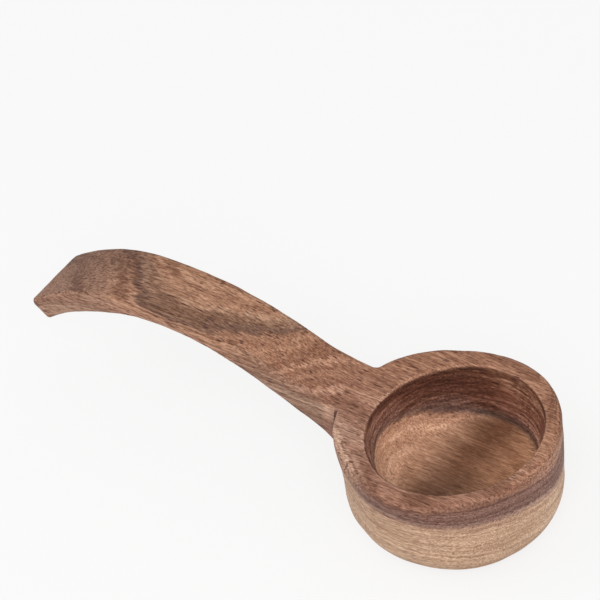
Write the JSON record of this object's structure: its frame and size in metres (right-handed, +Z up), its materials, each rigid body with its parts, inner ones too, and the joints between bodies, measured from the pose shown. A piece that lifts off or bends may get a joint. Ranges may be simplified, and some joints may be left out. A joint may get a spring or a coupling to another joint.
{
  "type": "measuring spoon",
  "caption": "Carved wooden measuring spoon with a thick round bowl, a tapered well and a flat curved handle that crests and hooks down at its end.",
  "frame": {"origin": "centre of the bowl's flat base", "axes": "+Z up through the bowl, square to the level rim; the handle runs towards -X; Y is across, and the part mirrors about the XZ plane"},
  "size_m": [0.1458, 0.052, 0.0377],
  "materials": {
    "wood": "sanded and lightly oiled hardwood, red-brown heartwood above pale sapwood, open pores along X"
  },
  "bodies": {
    "root": {"spoon": "wood"}
  },
  "joints": []
}
